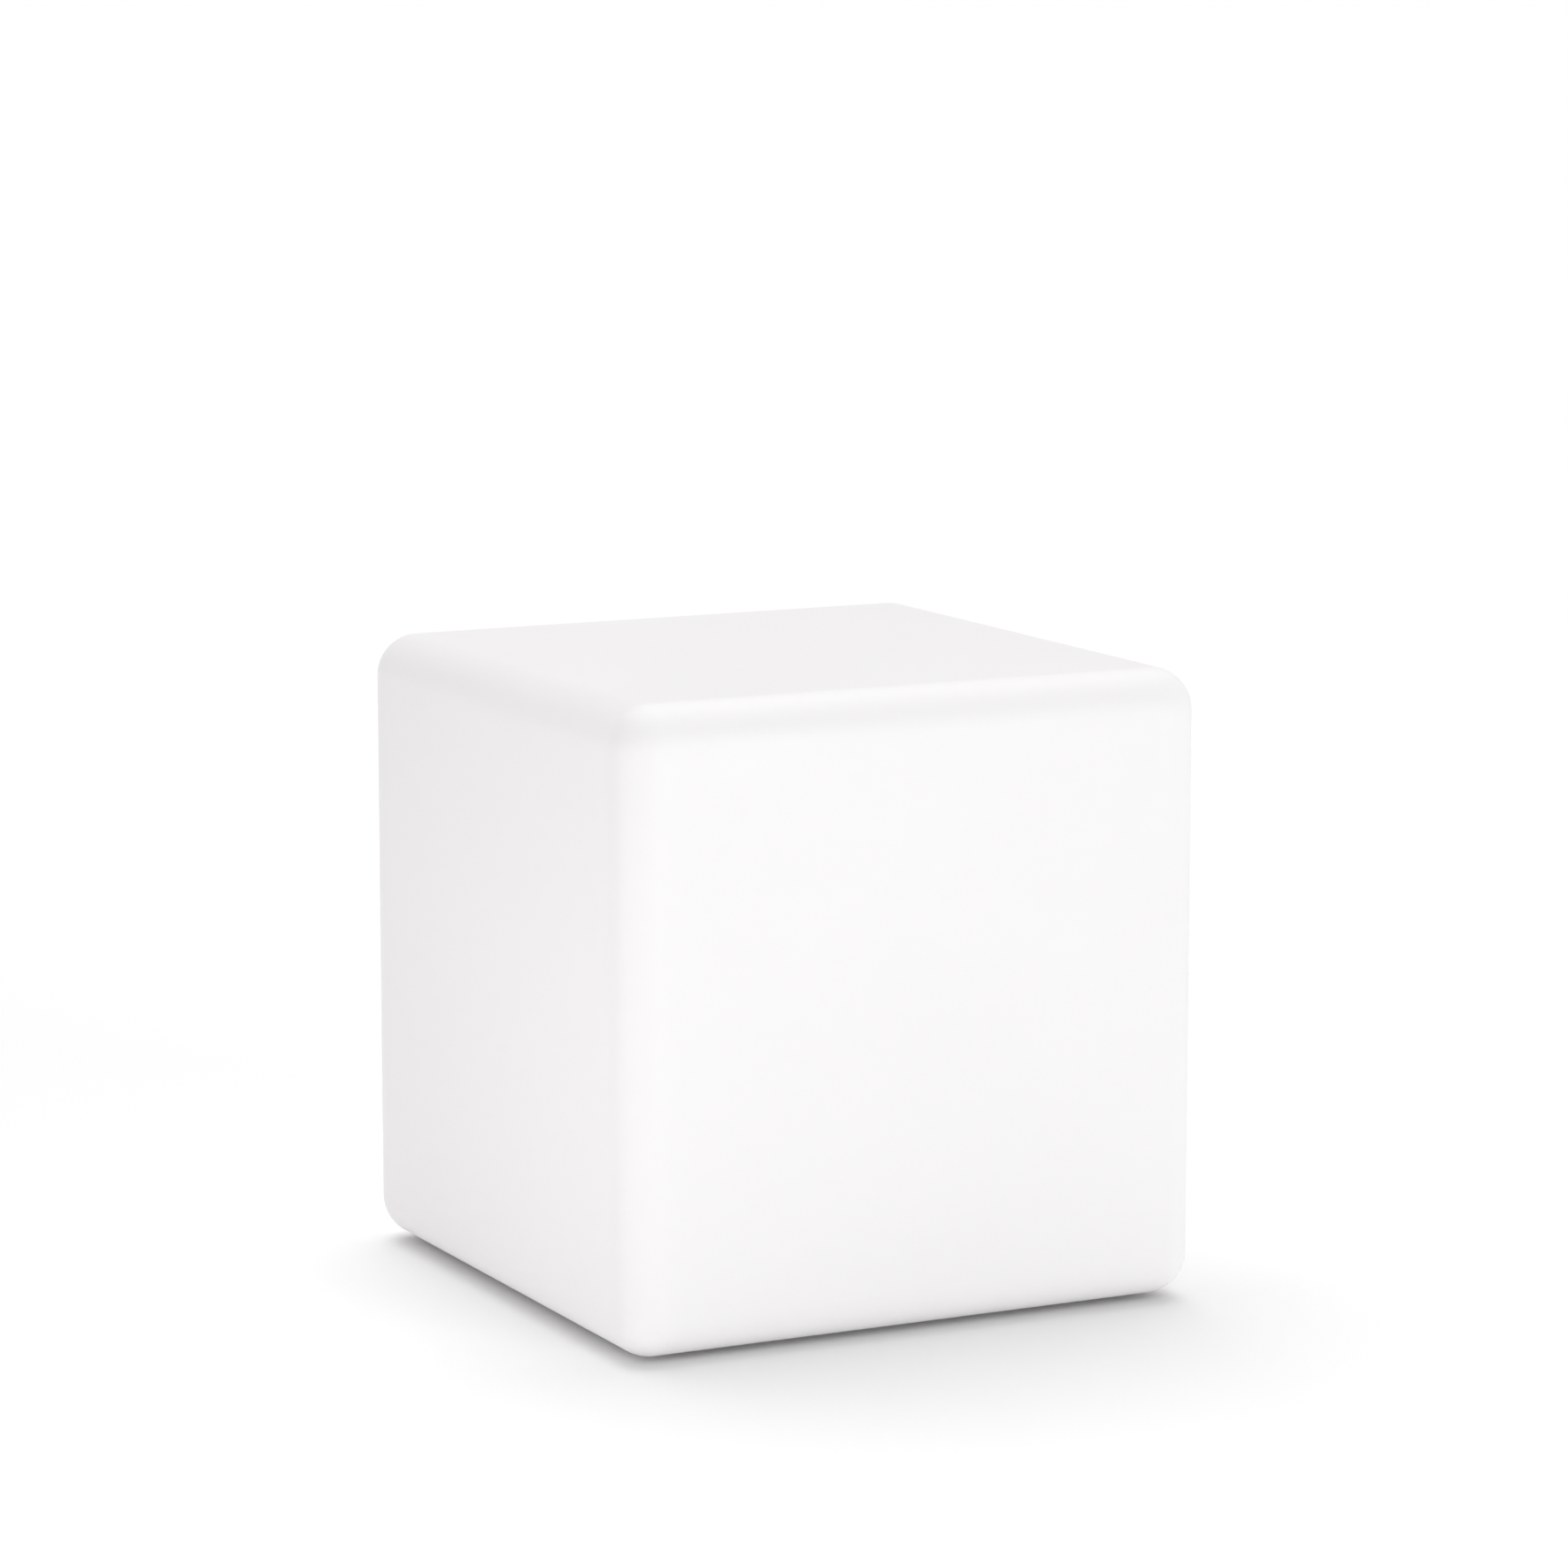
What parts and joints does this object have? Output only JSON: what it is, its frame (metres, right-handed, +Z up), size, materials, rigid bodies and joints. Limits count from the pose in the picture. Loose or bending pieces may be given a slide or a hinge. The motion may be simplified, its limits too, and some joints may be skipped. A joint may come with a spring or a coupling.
{
  "type": "outdoor cube light",
  "caption": "Rounded white cube light for outdoors: moulded translucent shade that lifts off a flat steel base with gland, lamp holder and screw-in bulb.",
  "frame": {"origin": "middle of the underside, on the ground plane that the feet stand on", "axes": "+Z up, -Y towards the front face, +Y towards the face where the cable leaves"},
  "size_m": [0.4, 0.4, 0.403],
  "materials": {
    "polyethylene": "smooth matte, slightly translucent",
    "brass": "turned",
    "coated_steel": "fine powder coat",
    "plated_steel": "zinc plated",
    "seal_rubber": "moulded",
    "foot_rubber": "moulded",
    "gland_nylon": "moulded",
    "bracket_steel": "zinc plated strip",
    "holder_plastic": "moulded, heat proof",
    "porcelain": "unglazed",
    "spring_bronze": "rolled",
    "connector_nylon": "moulded",
    "lead_brown": "extruded silicone",
    "lead_blue": "extruded silicone",
    "lead_green": "extruded silicone, yellow stripe",
    "tinned_copper": "tinned",
    "solder": "solder",
    "black_glass": "fused glass",
    "nickel_plate": "nickel plated",
    "bulb_plastic": "moulded",
    "board_aluminium": "white solder mask",
    "led_phosphor": "phosphor",
    "opal_plastic": "opal"
  },
  "bodies": {
    "base": {"base_pan": "coated_steel", "weld_studs": "plated_steel", "base_gasket": "seal_rubber", "foot_1": "foot_rubber", "foot_2": "foot_rubber", "foot_3": "foot_rubber", "foot_4": "foot_rubber", "foot_washers": "plated_steel", "base_screws": "plated_steel", "gland_body": "gland_nylon", "gland_nut": "gland_nylon", "gland_grommet": "seal_rubber", "gland_washer": "seal_rubber", "gland_locknut": "gland_nylon", "holder_bracket": "bracket_steel", "bracket_nuts": "plated_steel", "nipple": "plated_steel", "nipple_locknut": "brass", "holder_dome": "holder_plastic", "holder_core": "porcelain", "holder_skirt": "holder_plastic", "holder_screw_shell": "brass", "holder_contact": "spring_bronze", "holder_terminals": "brass", "holder_terminal_screws": "plated_steel", "terminal_block": "connector_nylon", "terminal_sleeves": "brass", "terminal_screws": "plated_steel", "terminal_nuts": "plated_steel", "lead_live": "lead_brown", "lead_neutral": "lead_blue", "earth_lead": "lead_green", "earth_tag": "tinned_copper", "earth_nut": "brass"},
    "shade": {"shell": "polyethylene", "shell_corners": "polyethylene", "shell_underside": "polyethylene", "shell_neck": "polyethylene", "shell_channel": "polyethylene", "insert_1": "brass", "insert_2": "brass", "insert_3": "brass", "insert_4": "brass"},
    "bulb_tip": {"bulb_contact": "solder", "bulb_insulator": "black_glass"},
    "bulb": {"bulb_cap": "nickel_plate", "bulb_housing": "bulb_plastic", "bulb_board": "board_aluminium", "bulb_chips": "led_phosphor", "bulb_globe": "opal_plastic"}
  },
  "joints": [
    {"name": "shade_lift", "type": "slide", "parent": "base", "child": "shade", "axis": [0, 0, 1], "range_m": [0, 0.3]},
    {"name": "bulb_travel", "type": "slide", "parent": "base", "child": "bulb_tip", "axis": [0, 0, 1], "range_m": [0, 0.0218]},
    {"name": "bulb_turn", "type": "hinge", "parent": "bulb_tip", "child": "bulb", "pos_m": [0, 0, 0.122], "axis": [0, 0, 1], "range_deg": [0, 2160]}
  ],
  "couplings": [
    {"joint": "bulb_travel", "follows": "bulb_turn", "m_per_rad": 0.00057757}
  ]
}
